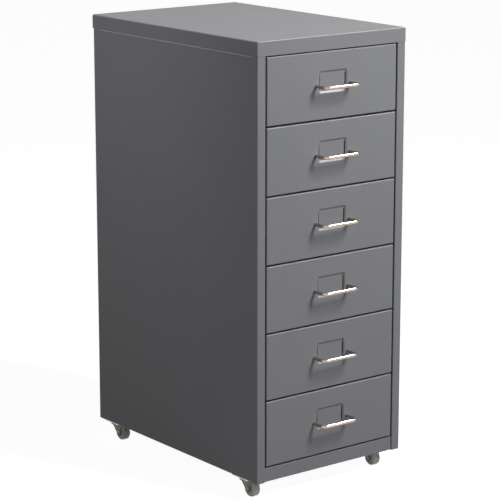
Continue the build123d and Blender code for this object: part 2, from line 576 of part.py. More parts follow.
# ---------------------------------------------------------------- assembly
def build_pieces():
    """Every piece at its place, by name."""
    pieces = {
        "top_panel": make_top_panel(),
        "back_panel": make_back_panel(),
        "base_panel": make_base_panel(),
        "panel_screws": Compound(children=make_panel_screws()),
        "castor_screws": Compound(children=make_castor_screws()),
    }
    side_panel = make_right_side_panel()
    pieces["right_side_panel"] = side_panel
    pieces["left_side_panel"] = mirror(side_panel, about=Plane.YZ)

    front = make_drawer_front()
    tray = make_drawer_tray()
    handle = make_handle()
    handle_screws = make_handle_screws()
    right_runner = make_right_runner()
    left_runner = mirror(right_runner, about=Plane.YZ)
    for number in range(1, DRAWER_COUNT + 1):
        level = Pos(0, 0, STACK_TOP - (number - 1) * DRAWER_PITCH - FRONT_HEIGHT / 2)
        pieces[f"right_runner_{number}"] = level * right_runner
        pieces[f"left_runner_{number}"] = level * left_runner
        pieces[f"drawer_front_{number}"] = level * front
        pieces[f"drawer_tray_{number}"] = level * tray
        pieces[f"handle_{number}"] = level * handle
        pieces[f"handle_screws_{number}"] = Compound(children=[level * item for item in handle_screws])

    castor = {
        "plate": make_castor_plate(),
        "fork": make_castor_fork(),
        "axle": make_castor_axle(),
        "wheel": make_castor_wheel(),
    }
    for end, y in (("front", CASTOR_FRONT_Y), ("rear", CASTOR_REAR_Y)):
        for side, x in (("left", -CASTOR_X), ("right", CASTOR_X)):
            for name, shape in castor.items():
                pieces[f"castor_{name}_{end}_{side}"] = Pos(x, y, 0) * Rot(0, 0, 180) * shape
    return pieces


os.makedirs("parts", exist_ok=True)
for piece_name, piece in build_pieces().items():
    export_step(piece, f"parts/{piece_name}.step")
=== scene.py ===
"""Looks of a small metal drawer cabinet on four castors, in metres.

The sheet metal keeps the frame's own solids and gets its finishes here.  The bent handles, the
screws and the castors' forks, axles and wheels are modelled in their place.  +Z is up, the front
faces -Y, and +X is to the right as seen from the front.
"""

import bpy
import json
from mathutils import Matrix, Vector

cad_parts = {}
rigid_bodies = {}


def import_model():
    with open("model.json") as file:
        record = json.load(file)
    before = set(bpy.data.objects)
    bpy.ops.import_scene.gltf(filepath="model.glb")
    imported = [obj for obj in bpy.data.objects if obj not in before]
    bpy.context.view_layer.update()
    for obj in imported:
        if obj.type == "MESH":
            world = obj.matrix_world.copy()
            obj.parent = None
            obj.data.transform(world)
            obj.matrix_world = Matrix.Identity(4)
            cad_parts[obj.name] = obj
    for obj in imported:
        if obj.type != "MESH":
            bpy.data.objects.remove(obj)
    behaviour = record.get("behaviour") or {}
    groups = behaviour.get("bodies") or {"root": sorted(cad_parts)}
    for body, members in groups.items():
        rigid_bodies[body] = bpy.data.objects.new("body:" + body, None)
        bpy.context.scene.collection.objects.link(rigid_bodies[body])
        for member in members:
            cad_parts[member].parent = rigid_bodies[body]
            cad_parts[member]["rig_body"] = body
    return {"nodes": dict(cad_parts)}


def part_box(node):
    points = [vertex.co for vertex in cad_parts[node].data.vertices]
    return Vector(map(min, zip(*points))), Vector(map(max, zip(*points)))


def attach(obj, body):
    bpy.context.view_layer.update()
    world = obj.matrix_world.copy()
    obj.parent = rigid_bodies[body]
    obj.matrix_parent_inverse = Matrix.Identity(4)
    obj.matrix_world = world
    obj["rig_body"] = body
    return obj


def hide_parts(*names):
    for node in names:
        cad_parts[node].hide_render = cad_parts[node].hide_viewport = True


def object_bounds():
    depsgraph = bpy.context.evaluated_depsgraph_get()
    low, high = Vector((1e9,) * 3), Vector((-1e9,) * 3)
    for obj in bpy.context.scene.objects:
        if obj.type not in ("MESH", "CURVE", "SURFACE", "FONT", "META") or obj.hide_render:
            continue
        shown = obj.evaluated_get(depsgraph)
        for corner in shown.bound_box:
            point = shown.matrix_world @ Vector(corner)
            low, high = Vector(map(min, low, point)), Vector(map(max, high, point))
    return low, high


bl_info = {
    "name": "Drawer Cabinet Looks",
    "version": (1, 0, 0),
    "blender": (4, 5, 0),
    "location": "View3D > Sidebar > Cabinet",
    "description": "Finishes and models the pieces of a small metal drawer cabinet",
    "category": "Object",
}

import json
import math

import bmesh
import bpy
from bpy.props import FloatProperty, FloatVectorProperty, IntProperty, PointerProperty
from bpy.types import Operator, Panel, PropertyGroup
from mathutils import Matrix, Vector

for leftover in list(bpy.data.objects):
    bpy.data.objects.remove(leftover)
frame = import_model()
CAD_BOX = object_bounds()

MM = 0.001
DRAWERS = range(1, 7)
CORNERS = [f"{end}_{side}" for end in ("front", "rear") for side in ("left", "right")]
SMOOTH_ANGLE = math.radians(35)


# ---------------------------------------------------------------- places read from the frame
def middle(box):
    """The centre of a box given by its lowest and highest corner."""
    return (box[0] + box[1]) / 2


def extent(box):
    """The size of a box given by its lowest and highest corner."""
    return box[1] - box[0]


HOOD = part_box("top_panel")
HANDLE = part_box("handle_1")
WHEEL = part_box("castor_wheel_front_left")
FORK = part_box("castor_fork_front_left")
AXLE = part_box("castor_axle_front_left")
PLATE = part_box("castor_plate_front_left")


# ---------------------------------------------------------------- settings
class CoatSettings(PropertyGroup):
    """Powder coat of the casing and the drawers."""

    colour: FloatVectorProperty(
        name="Coat colour", description="Grey of the powder coat",
        subtype="COLOR", size=3, min=0, max=1, default=(0.176, 0.179, 0.191))
    roughness: FloatProperty(
        name="Coat roughness", description="How dull the powder coat is",
        subtype="FACTOR", min=0, max=1, default=0.40)
    shine: FloatProperty(
        name="Coat shine", description="Strength of the coat's reflections",
        subtype="FACTOR", min=0, max=1, default=0.22)
    peel: FloatProperty(
        name="Orange peel", description="Size of the fine ripples in the coat",
        unit="LENGTH", default=1.1 * MM)
    tab_inset: FloatProperty(
        name="Corner tab", description="Edge of the welded tab behind the hood's skirt, from the corner",
        unit="LENGTH", default=16 * MM)


class SteelSettings(PropertyGroup):
    """Zinc plating of the runners, plates, axles and screws."""

    colour: FloatVectorProperty(
        name="Zinc colour", description="Colour of the zinc plating",
        subtype="COLOR", size=3, min=0, max=1, default=(0.55, 0.55, 0.54))
    roughness: FloatProperty(
        name="Zinc roughness", description="How dull the plating is",
        subtype="FACTOR", min=0, max=1, default=0.36)
    recess_span: FloatProperty(
        name="Recess span", description="Length of the cross recess, as a share of the head",
        subtype="FACTOR", min=0.2, max=0.8, default=0.56)
    recess_slot: FloatProperty(
        name="Recess slot", description="Width of the cross recess, as a share of the head",
        subtype="FACTOR", min=0.1, max=0.4, default=0.16)


class HandleSettings(PropertyGroup):
    """Bent wire handles."""

    wire: FloatProperty(
        name="Wire", description="Diameter of the wire", unit="LENGTH", default=extent(HANDLE).z)
    bend: FloatProperty(
        name="Bend", description="Bend radius at the middle of the wire", unit="LENGTH", default=8 * MM)
    # Darker and browner than the plating: a painted reflection of a dark, warm room.
    colour: FloatVectorProperty(
        name="Nickel colour", description="Plating colour with a painted warm reflection",
        subtype="COLOR", size=3, min=0, max=1, default=(0.46, 0.37, 0.30))
    roughness: FloatProperty(
        name="Nickel roughness", description="How dull the plating is",
        subtype="FACTOR", min=0, max=1, default=0.13)
    sides: IntProperty(name="Sides", description="Faces round the wire", min=8, default=32)


class CastorSettings(PropertyGroup):
    """Wheels, forks and axles of the castors."""

    rim: FloatProperty(
        name="Rim", description="Width of the wheel's rim ring", unit="LENGTH", default=3.2 * MM)
    hub: FloatProperty(name="Hub", description="Diameter of the wheel's hub", unit="LENGTH", default=9 * MM)
    dish: FloatProperty(name="Dish", description="Depth between rim and hub", unit="LENGTH", default=1.6 * MM)
    tread_edge: FloatProperty(
        name="Tread edge", description="Rounding of the tread's edges", unit="LENGTH", default=2.4 * MM)
    axle: FloatProperty(name="Axle", description="Diameter of the axle", unit="LENGTH", default=3 * MM)
    axle_head: FloatProperty(
        name="Axle head", description="Height of the axle's heads", unit="LENGTH", default=0.8 * MM)
    kingpin: FloatProperty(
        name="Kingpin", description="Diameter of the swivel pin", unit="LENGTH", default=6 * MM)
    kingpin_head: FloatProperty(
        name="Kingpin head", description="Diameter of the swivel pin's head",
        unit="LENGTH", default=8.4 * MM)
    kingpin_recess: FloatProperty(
        name="Kingpin recess", description="Depth of the seat of the pin's head in the crown",
        unit="LENGTH", default=1.35 * MM)
    swivel_fit: FloatProperty(
        name="Swivel fit", description="Running clearance round the swivel pin",
        unit="LENGTH", default=0.3 * MM)
    leg: FloatProperty(
        name="Fork leg", description="Thickness of a fork leg", unit="LENGTH", default=2.5 * MM)
    crown: FloatProperty(
        name="Fork crown", description="Thickness of the fork's crown", unit="LENGTH", default=2.8 * MM)
    crown_reach: FloatProperty(
        name="Crown reach", description="From the pivot to the crown's squared edge",
        unit="LENGTH", default=14 * MM)
    foot: FloatProperty(
        name="Fork foot", description="Radius of a leg's foot round the axle",
        unit="LENGTH", default=4.4 * MM)
    leg_rib: FloatProperty(
        name="Leg rib", description="Width of the rib along a leg's edges", unit="LENGTH", default=1.2 * MM)
    leg_hollow: FloatProperty(
        name="Leg hollow", description="Depth of a leg's outside between its ribs",
        unit="LENGTH", default=0.7 * MM)
    fork_colour: FloatVectorProperty(
        name="Fork colour", description="Colour of the smoky moulding",
        subtype="COLOR", size=3, min=0, max=1, default=(0.46, 0.46, 0.37))
    # Darkens the axles' zinc: painted shade of the axle holes.
    axle_painted_shade: FloatProperty(
        name="Axle tone", description="How dark the axles are, beside plain zinc",
        subtype="FACTOR", min=0, max=1, default=0.30)
    wheel_colour: FloatVectorProperty(
        name="Wheel colour", description="Colour of the pale moulding",
        subtype="COLOR", size=3, min=0, max=1, default=(0.80, 0.76, 0.72))


class StageSettings(PropertyGroup):
    """Floor, light and camera."""

    key_power: FloatProperty(
        name="Key light", description="Power of the lamp in front", unit="POWER", default=36)
    front_edge_power: FloatProperty(
        name="Front edge light",
        description="Power of the far lamp that shows in the front's folded edges alone",
        unit="POWER", default=300)
    side_edge_power: FloatProperty(
        name="Side edge light",
        description="Power of the far lamp that shows in the left side's step alone",
        unit="POWER", default=60)
    side_power: FloatProperty(
        name="Side light", description="Power of the weak lamp at the upper left", unit="POWER", default=0.35)
    low_power: FloatProperty(
        name="Low light", description="Power of the lamp near the floor that reaches the castors",
        unit="POWER", default=0.6)
    ambient: FloatProperty(
        name="Ambient", description="Strength of the light from all round", min=0, max=1, default=0.07)
    glow: FloatProperty(
        name="Floor glow", description="How far the floor is lifted to white where it is seen",
        min=0, max=1, default=0.95)
    floor_tone: FloatProperty(
        name="Floor tone", description="Grey of the floor for the light it throws back",
        min=0, max=1, default=0.30)


SETTINGS = {
    "cabinet_coat": CoatSettings,
    "cabinet_steel": SteelSettings,
    "cabinet_handle": HandleSettings,
    "cabinet_castor": CastorSettings,
    "cabinet_stage": StageSettings,
}


# ---------------------------------------------------------------- shader maths
class Signal:
    """An output in a shader tree. Operators add Math nodes, and node() adds any other node."""

    def __init__(self, tree, socket=None):
        self.tree = tree
        self.socket = socket

    def node(self, kind, settings=None, sockets=None, output=0):
        """Adds a node, sets it up, feeds its sockets and returns one of its outputs."""
        made = self.tree.nodes.new(kind)
        for name, value in (settings or {}).items():
            setattr(made, name, value)
        for key, value in (sockets or {}).items():
            if isinstance(value, Signal):
                self.tree.links.new(value.socket, made.inputs[key])
            else:
                made.inputs[key].default_value = value
        return Signal(self.tree, made.outputs[output])

    def maths(self, operation, first, second=0.0):
        return self.node("ShaderNodeMath", {"operation": operation}, {0: first, 1: second})

    def __add__(self, other):
        return self.maths("ADD", self, other)

    def __radd__(self, other):
        return self.maths("ADD", other, self)

    def __sub__(self, other):
        return self.maths("SUBTRACT", self, other)

    def __rsub__(self, other):
        return self.maths("SUBTRACT", other, self)

    def __mul__(self, other):
        return self.maths("MULTIPLY", self, other)

    def __rmul__(self, other):
        return self.maths("MULTIPLY", other, self)

    def __gt__(self, other):
        return self.maths("GREATER_THAN", self, other)

    def __lt__(self, other):
        return self.maths("LESS_THAN", self, other)

    def __abs__(self):
        return self.maths("ABSOLUTE", self)

    def larger(self, other):
        """The larger of two values."""
        return self.maths("MAXIMUM", self, other)

    def split(self):
        """The X, Y and Z of a vector."""
        made = self.node("ShaderNodeSeparateXYZ", sockets={0: self})
        outputs = made.socket.node.outputs
        return [Signal(self.tree, output) for output in outputs]

    def noise(self, scale, detail=2.0, roughness=0.5):
        """Noise read at this place, from 0 to 1."""
        sockets = {"Vector": self, "Scale": scale, "Detail": detail, "Roughness": roughness}
        return self.node("ShaderNodeTexNoise", sockets=sockets)

    def blend(self, first, second):
        """The first colour where this value is 0, the second where it is 1."""
        return self.node("ShaderNodeMix", {"data_type": "RGBA"}, {0: self, 6: first, 7: second}, output=2)

    def bump(self, distance, under=None):
        """A normal raised by this value times a distance, on top of another normal."""
        sockets = {"Height": self, "Distance": distance}
        if under is not None:
            sockets["Normal"] = under
        return self.node("ShaderNodeBump", sockets=sockets)


def shade(colour, factor):
    """A colour made lighter or darker, with its alpha."""
    return tuple(min(channel * factor, 1.0) for channel in colour) + (1.0,)


class Finish:
    """A material with one surface shader, and the place that its patterns are read at."""

    def __init__(self, name, **plain):
        self.material = bpy.data.materials.new(name)
        self.material.use_nodes = True
        tree = self.material.node_tree
        self.surface = tree.nodes["Principled BSDF"]
        self.place = Signal(tree).node("ShaderNodeTexCoord", output="Object")
        for name, value in plain.items():
            self.surface.inputs[name.replace("_", " ")].default_value = value

    def feed(self, socket, value):
        """Links a value that changes over the surface to one of its sockets."""
        value.tree.links.new(value.socket, self.surface.inputs[socket])

    def coat(self, *pieces):
        """Gives the material to pieces."""
        for piece in pieces:
            if not piece.material_slots:
                piece.data.materials.append(self.material)
            for slot in piece.material_slots:
                slot.material = self.material


def powder_coat(name, tab_lines=False):
    """Satin powder coat: fine orange peel, faint mottling and slightly wavy sheet."""
    coat = bpy.context.scene.cabinet_coat
    finish = Finish(name, Specular_IOR_Level=coat.shine)
    place = finish.place
    peel = place.noise(1 / coat.peel, detail=1.0)
    cloud = place.noise(9.0, detail=3.0)
    grit = place.noise(1700.0, detail=0.0)
    tone = cloud * 0.7 + grit * 0.3
    colour = tone.blend(shade(coat.colour, 0.93), shade(coat.colour, 1.07))
    waves = place.noise(5.0, detail=0.0).bump(0.35 * MM)
    skin = peel.bump(0.014 * MM, waves)
    if tab_lines:
        line, depth = tab_line(place, coat.tab_inset)
        colour = line.blend(colour, shade(coat.colour, 0.80))
        skin = depth.bump(0.1 * MM, skin)
    finish.feed("Base Color", colour)
    finish.feed("Roughness", coat.roughness - 0.05 + cloud * 0.06 + grit * 0.04)
    finish.feed("Normal", skin)
    return finish


def tab_line(place, inset):
    """The faint lines on the side skirts, over the edges of the tabs welded behind them."""
    low, high = HOOD
    half_depth = extent(HOOD).y / 2
    centre_y = middle(HOOD).y
    x, y, z = place.split()
    on_side = abs(x) > high.x - 0.4 * MM
    on_skirt = z < high.z - 2 * MM
    off_line = abs(abs(y - centre_y) - (half_depth - inset))
    line = (off_line < 0.35 * MM) * on_side * on_skirt
    return line * 0.5, 1 - line


def bright_nickel():
    """Bright plated wire with a little haze; its colour is darkened and warmed, a painted reflection of a
    dark, warm room.
    """
    handle = bpy.context.scene.cabinet_handle
    finish = Finish("bright_nickel", Metallic=1.0)
    haze = finish.place.noise(420.0, detail=3.0)
    scratch = finish.place.noise(2600.0, detail=1.0)
    # The base colour paints the reflection of a dark, warm room onto the plating.
    finish.feed("Base Color", haze.blend(shade(handle.colour, 0.94), shade(handle.colour, 1.05)))
    finish.feed("Roughness", handle.roughness - 0.04 + haze * 0.06 + scratch * 0.03)
    finish.feed("Normal", scratch.bump(0.004 * MM))
    return finish


def zinc_plate(name="zinc_plate", tone=1.0):
    """Zinc plated steel with a faint spangle, or the same plating darkened as painted shade."""
    steel = bpy.context.scene.cabinet_steel
    finish = Finish(name, Metallic=1.0)
    spangle = finish.place.noise(230.0, detail=4.0, roughness=0.6)
    grain = finish.place.noise(1900.0, detail=1.0)
    dark, bright = shade(steel.colour, 0.84 * tone), shade(steel.colour, 1.12 * tone)
    finish.feed("Base Color", spangle.blend(dark, bright))
    finish.feed("Roughness", steel.roughness - 0.08 + spangle * 0.12 + grain * 0.06)
    finish.feed("Normal", grain.bump(0.01 * MM))
    return finish


def moulded_plastic(name, colour, roughness, **plain):
    """Moulded plastic with a fine spark-eroded grain and slightly cloudy colour."""
    finish = Finish(name, **plain)
    cloud = finish.place.noise(160.0, detail=3.0)
    grain = finish.place.noise(2400.0, detail=1.0)
    finish.feed("Base Color", cloud.blend(shade(colour, 0.90), shade(colour, 1.08)))
    finish.feed("Roughness", roughness - 0.05 + cloud * 0.06 + grain * 0.04)
    finish.feed("Normal", grain.bump(0.012 * MM))
    return finish


# ---------------------------------------------------------------- modelling helpers
def start_clean():
    """Object mode with nothing selected."""
    if bpy.context.mode != "OBJECT":
        bpy.ops.object.mode_set(mode="OBJECT")
    bpy.ops.object.select_all(action="DESELECT")


def settle(name):
    """Bakes the new primitive's place into its mesh, names it and opens it in edit mode."""
    bpy.ops.object.transform_apply(location=True, rotation=True, scale=True)
    piece = bpy.context.object
    piece.name = name
    piece.data.name = name
    bpy.ops.object.mode_set(mode="EDIT")
    return piece


def pick(kind, test):
    """In edit mode, selects only the faces, edges or vertices that pass a test."""
    bpy.ops.mesh.select_mode(type={"faces": "FACE", "edges": "EDGE", "verts": "VERT"}[kind])
    bpy.ops.mesh.select_all(action="DESELECT")
    mesh = bpy.context.object.data
    work = bmesh.from_edit_mesh(mesh)
    work.faces.ensure_lookup_table()
    for item in getattr(work, kind):
        if test(item):
            item.select_set(True)
    work.select_flush_mode()
    bmesh.update_edit_mesh(mesh)


def extrude(move):
    """Extrudes the selection along a vector."""
    bpy.ops.mesh.extrude_region_move(TRANSFORM_OT_translate={"value": move})


def edge_middle(edge):
    """The middle of an edge."""
    return (edge.verts[0].co + edge.verts[1].co) / 2


def close(piece, angle=SMOOTH_ANGLE):
    """Leaves edit mode with merged doubles, outward normals and smooth shading up to an angle."""
    if bpy.context.mode != "EDIT_MESH":
        bpy.ops.object.mode_set(mode="EDIT")
    bpy.ops.mesh.select_mode(type="VERT")
    bpy.ops.mesh.select_all(action="SELECT")
    bpy.ops.mesh.remove_doubles(threshold=1e-6)
    bpy.ops.mesh.normals_make_consistent(inside=False)
    bpy.ops.mesh.select_all(action="DESELECT")
    bpy.ops.object.mode_set(mode="OBJECT")
    bpy.ops.object.select_all(action="DESELECT")
    piece.select_set(True)
    bpy.context.view_layer.objects.active = piece
    bpy.ops.object.shade_smooth_by_angle(angle=angle)


def boolean(piece, tool, operation):
    """Adds a tool to a piece or cuts it away, and deletes the tool."""
    start_clean()
    piece.select_set(True)
    bpy.context.view_layer.objects.active = piece
    modifier = piece.modifiers.new("tool", "BOOLEAN")
    modifier.operation = operation
    modifier.solver = "EXACT"
    modifier.object = tool
    bpy.ops.object.modifier_apply(modifier=modifier.name)
    bpy.data.objects.remove(tool)


def copy_piece(piece, name, matrix):
    """A copy of a piece with its own mesh, moved by a matrix."""
    twin = piece.copy()
    twin.data = piece.data.copy()
    twin.name = name
    twin.data.name = name
    bpy.context.collection.objects.link(twin)
    twin.data.transform(matrix)
    if matrix.is_negative:
        twin.data.flip_normals()
    return twin


def solid_boxes(node):
    """The boxes of the separate solids of a node, read from a merged copy of it."""
    start_clean()
    copy = frame["nodes"][node].copy()
    copy.data = copy.data.copy()
    bpy.context.collection.objects.link(copy)
    copy.select_set(True)
    bpy.context.view_layer.objects.active = copy
    bpy.ops.object.mode_set(mode="EDIT")
    bpy.ops.mesh.select_all(action="SELECT")
    bpy.ops.mesh.remove_doubles(threshold=1e-6)
    bpy.ops.mesh.separate(type="LOOSE")
    bpy.ops.object.mode_set(mode="OBJECT")
    boxes = []
    for part in list(bpy.context.selected_objects):
        corners = [vertex.co for vertex in part.data.vertices]
        low = Vector([min(corner[axis] for corner in corners) for axis in range(3)])
        high = Vector([max(corner[axis] for corner in corners) for axis in range(3)])
        boxes.append((low, high))
        bpy.data.objects.remove(part)
    return sorted(boxes, key=lambda box: tuple(round(value, 5) for value in box[0]))


def hand_over(piece, finish, slot, body, *nodes):
    """Finishes a piece, lets it ride on its body and stand for its nodes."""
    finish.coat(piece)
    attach(piece, body)
    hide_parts(*nodes)


def body_with(node):
    """The body that a node rides on."""
    return frame["nodes"][node]["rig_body"]


# ---------------------------------------------------------------- handles
def bend_handle():
    """The first drawer's handle: a ring swept down one leg, along the bar and up the other leg."""
    settings = bpy.context.scene.cabinet_handle
    low, high = HANDLE
    radius = settings.wire / 2
    left = low.x + radius
    right = high.x - radius
    height = middle(HANDLE).z
    bend_y = low.y + radius + settings.bend
    bar_y = low.y + radius
    start_clean()
    bpy.ops.mesh.primitive_circle_add(
        vertices=settings.sides, radius=radius, fill_type="NOTHING",
        location=(left, high.y, height), rotation=(math.pi / 2, 0, 0))
    piece = settle("bent_handle_1")
    bpy.ops.mesh.select_all(action="SELECT")
    extrude((0, bend_y - high.y, 0))
    turn = {"steps": 14, "angle": math.pi / 2, "axis": (0, 0, -1)}
    bpy.ops.mesh.spin(center=(left + settings.bend, bend_y, height), **turn)
    end = selection_middle()
    if abs(end.y - bar_y) > radius / 10:
        raise RuntimeError("the handle's first bend turned the wrong way")
    extrude((right - left - 2 * settings.bend, 0, 0))
    bpy.ops.mesh.spin(center=(right - settings.bend, bend_y, height), **turn)
    extrude((0, high.y - bend_y, 0))
    for side in (left, right):
        pick("edges", lambda edge: edge.is_boundary and abs(edge_middle(edge).x - side) < radius * 1.1)
        bpy.ops.mesh.edge_face_add()
    close(piece)
    return piece


def selection_middle():
    """The middle of the selected vertices in edit mode."""
    work = bmesh.from_edit_mesh(bpy.context.object.data)
    chosen = [vertex.co for vertex in work.verts if vertex.select]
    return sum(chosen, Vector()) / len(chosen)


# ---------------------------------------------------------------- screws
# Shares of a screw's shank radius or head height, and of the recess's own width at its foot.
SCREW_TIP = 0.35
HEAD_ROUNDING = 0.45
RECESS_DEPTH = 0.62
RECESS_FOOT = 0.45


def make_screw(head_radius, head_height, shank_radius, length, name):
    """A pan-head screw with a cross recess: its flat at the origin, its head up, its shank down."""
    steel = bpy.context.scene.cabinet_steel
    start_clean()
    bpy.ops.mesh.primitive_cylinder_add(
        vertices=32, radius=head_radius, depth=head_height, location=(0, 0, head_height / 2))
    piece = settle(name)
    pick("faces", lambda face: face.normal.z < -0.9)
    bpy.ops.mesh.inset(thickness=head_radius - shank_radius)
    extrude((0, 0, -length))
    bpy.ops.mesh.bevel(offset=shank_radius * SCREW_TIP, segments=2, affect="EDGES")
    pick("edges", lambda edge: abs(edge_middle(edge).z - head_height) < head_height * 0.01
         and len(edge.link_faces) == 2 and abs(edge.calc_face_angle() or 0) > 1)
    bpy.ops.mesh.bevel(offset=head_height * HEAD_ROUNDING, segments=4, affect="EDGES")
    close(piece)
    span = 2 * head_radius * steel.recess_span
    slot = 2 * head_radius * steel.recess_slot
    depth = head_height * RECESS_DEPTH
    for size in ((span, slot), (slot, span)):
        start_clean()
        bpy.ops.mesh.primitive_cube_add(
            size=1, scale=(size[0], size[1], depth * 2), location=(0, 0, head_height))
        tool = settle("recess_tool")
        pick("faces", lambda face: face.normal.z < -0.9)
        bpy.ops.transform.resize(
            value=(RECESS_FOOT, RECESS_FOOT, 1), center_override=(0, 0, head_height - depth))
        close(tool)
        boolean(piece, tool, "DIFFERENCE")
    close(piece)
    return piece


def screw_group(node, name, inward):
    """All screws of a node: each solid's box gives the place and size of one screw."""
    boxes = solid_boxes(node)
    inward = Vector(inward)
    axis = max(range(3), key=lambda index: abs(inward[index]))
    across = (axis + 1) % 3
    along = extent(boxes[0])[axis]
    head_radius = extent(boxes[0])[across] / 2
    shape = SCREWS[node]
    length = along - shape["head_height"]
    pattern = make_screw(head_radius, shape["head_height"], shape["shank"] / 2, length, name)
    aim = inward.to_track_quat("-Z", "Y").to_matrix().to_4x4()
    copies = []
    for index, box in enumerate(boxes):
        seat = middle(box)
        seat[axis] = (box[0] if inward[axis] > 0 else box[1])[axis] + inward[axis] * shape["head_height"]
        twist = Matrix.Rotation(index * SCREW_TWIST, 4, "Z")
        copies.append(copy_piece(pattern, f"{name}_{index}", Matrix.Translation(seat) @ aim @ twist))
    bpy.data.objects.remove(pattern)
    start_clean()
    for copy in copies:
        copy.select_set(True)
    bpy.context.view_layer.objects.active = copies[0]
    bpy.ops.object.join()
    copies[0].name = name
    copies[0].data.name = name
    return copies[0]


SCREW_TWIST = math.radians(137.5)   # each recess is left turned differently from the last
SCREWS = {
    "panel_screws": {"head_height": 1.6 * MM, "shank": 3.5 * MM},
    "castor_screws": {"head_height": 2.2 * MM, "shank": 4.0 * MM},
}
for drawer in DRAWERS:
    SCREWS[f"handle_screws_{drawer}"] = {"head_height": 2.0 * MM, "shank": 3.0 * MM}


# ---------------------------------------------------------------- castors
WHEEL_SLOPE = 0.3 * MM        # width of the sloping walls of a wheel's dish
BORE_FIT = 0.1 * MM           # clearance round the axle in a wheel's bore
MOULD_LINE_WIDTH = 0.3 * MM
MOULD_LINE_RISE = 0.12 * MM
# Steps of an axle head from its seat outward: rise and radius, as shares of its height and radius.
AXLE_HEAD_STEPS = ((0.0, 1.0), (0.45, 1.0), (0.35, 0.88), (0.20, 0.62), (0.0, 0.50), (-0.75, 0.34))


def mould_wheel():
    """The front left wheel: rim ring, dish, hub and bore on both faces, and a fine mould line."""
    castor = bpy.context.scene.cabinet_castor
    centre = middle(WHEEL)
    radius = extent(WHEEL).z / 2
    half = extent(WHEEL).x / 2
    slope = WHEEL_SLOPE
    start_clean()
    bpy.ops.mesh.primitive_cylinder_add(
        vertices=72, radius=radius, depth=2 * half, location=centre, rotation=(0, math.pi / 2, 0))
    piece = settle("moulded_wheel_front_left")
    pick("faces", lambda face: abs(face.normal.x) > 0.9)
    bpy.ops.mesh.inset(thickness=castor.rim)
    bpy.ops.mesh.inset(thickness=slope, depth=-castor.dish)
    bpy.ops.mesh.inset(thickness=radius - castor.rim - castor.hub / 2 - 2 * slope)
    bpy.ops.mesh.inset(thickness=slope, depth=castor.dish)
    bpy.ops.mesh.inset(thickness=castor.hub / 2 - castor.axle / 2 - BORE_FIT)
    bpy.ops.mesh.delete(type="ONLY_FACE")
    pick("edges", lambda edge: edge.is_boundary)
    bpy.ops.mesh.bridge_edge_loops()

    def ring(place_x, ring_radius):
        """A test for the edges of the ring at a place along the axle."""
        def test(edge):
            spot = edge_middle(edge) - centre
            reach = math.hypot(spot.y, spot.z)
            flat = abs(edge.verts[0].co.x - edge.verts[1].co.x) < slope / 10
            return flat and abs(abs(spot.x) - place_x) < slope / 10 and abs(reach - ring_radius) < slope / 3
        return test

    pick("edges", ring(half, radius))
    bpy.ops.mesh.bevel(offset=castor.tread_edge, segments=7, affect="EDGES")
    pick("edges", ring(half, radius - castor.rim))
    bpy.ops.mesh.bevel(offset=slope, segments=3, affect="EDGES")
    bpy.ops.mesh.select_all(action="SELECT")
    bpy.ops.mesh.bisect(plane_co=centre, plane_no=(1, 0, 0))
    pick("edges", ring(0, radius))
    bpy.ops.mesh.bevel(offset=MOULD_LINE_WIDTH, segments=2, affect="EDGES")
    pick("edges", ring(0, radius))
    shrink = 1 - MOULD_LINE_RISE / radius
    bpy.ops.transform.resize(value=(1, shrink, shrink), center_override=centre)
    close(piece)
    return piece


def mould_fork():
    """The front left fork: a round crown squared over the wheel, and two ribbed legs down to the axle."""
    castor = bpy.context.scene.cabinet_castor
    low, high = FORK
    pivot = middle(PLATE)
    axle = middle(AXLE)
    crown_radius = extent(FORK).x / 2
    crown_z = high.z - castor.crown / 2
    leg_outer = extent(AXLE).x / 2 - castor.axle_head
    square_y = pivot.y - castor.crown_reach
    start_clean()
    bpy.ops.mesh.primitive_cylinder_add(
        vertices=64, radius=crown_radius, depth=castor.crown, location=(pivot.x, pivot.y, crown_z))
    piece = settle("moulded_fork_front_left")
    pick("verts", lambda vertex: square_y < vertex.co.y < pivot.y and abs(vertex.co.x - pivot.x) < leg_outer)
    bpy.ops.transform.resize(value=(1, 0, 1), center_override=(pivot.x, square_y, crown_z))
    pick("edges", lambda edge: abs(edge_middle(edge).z - high.z) < 0.01 * MM and edge.calc_face_angle() > 1)
    bpy.ops.mesh.bevel(offset=castor.crown / 3, segments=4, affect="EDGES")
    close(piece)
    root_far = pivot.y + math.sqrt(crown_radius ** 2 - leg_outer ** 2)
    for sign in (-1, 1):
        leg = fork_leg(axle, sign * (leg_outer - castor.leg / 2), (square_y, root_far), crown_z)
        boolean(piece, leg, "UNION")
    tools = (
        ((pivot.x, pivot.y, high.z - castor.crown), castor.kingpin_head / 2 + castor.swivel_fit,
         2 * castor.kingpin_recess, 0),
        ((pivot.x, pivot.y, crown_z), castor.kingpin / 2 + castor.swivel_fit, 4 * castor.crown, 0),
        (tuple(axle), castor.axle / 2, 4 * leg_outer, math.pi / 2),
    )
    for place, radius, depth, turn in tools:
        start_clean()
        bpy.ops.mesh.primitive_cylinder_add(
            vertices=40, radius=radius, depth=depth, location=place, rotation=(0, turn, 0))
        tool = settle("drill")
        close(tool)
        boolean(piece, tool, "DIFFERENCE")
    close(piece)
    return piece


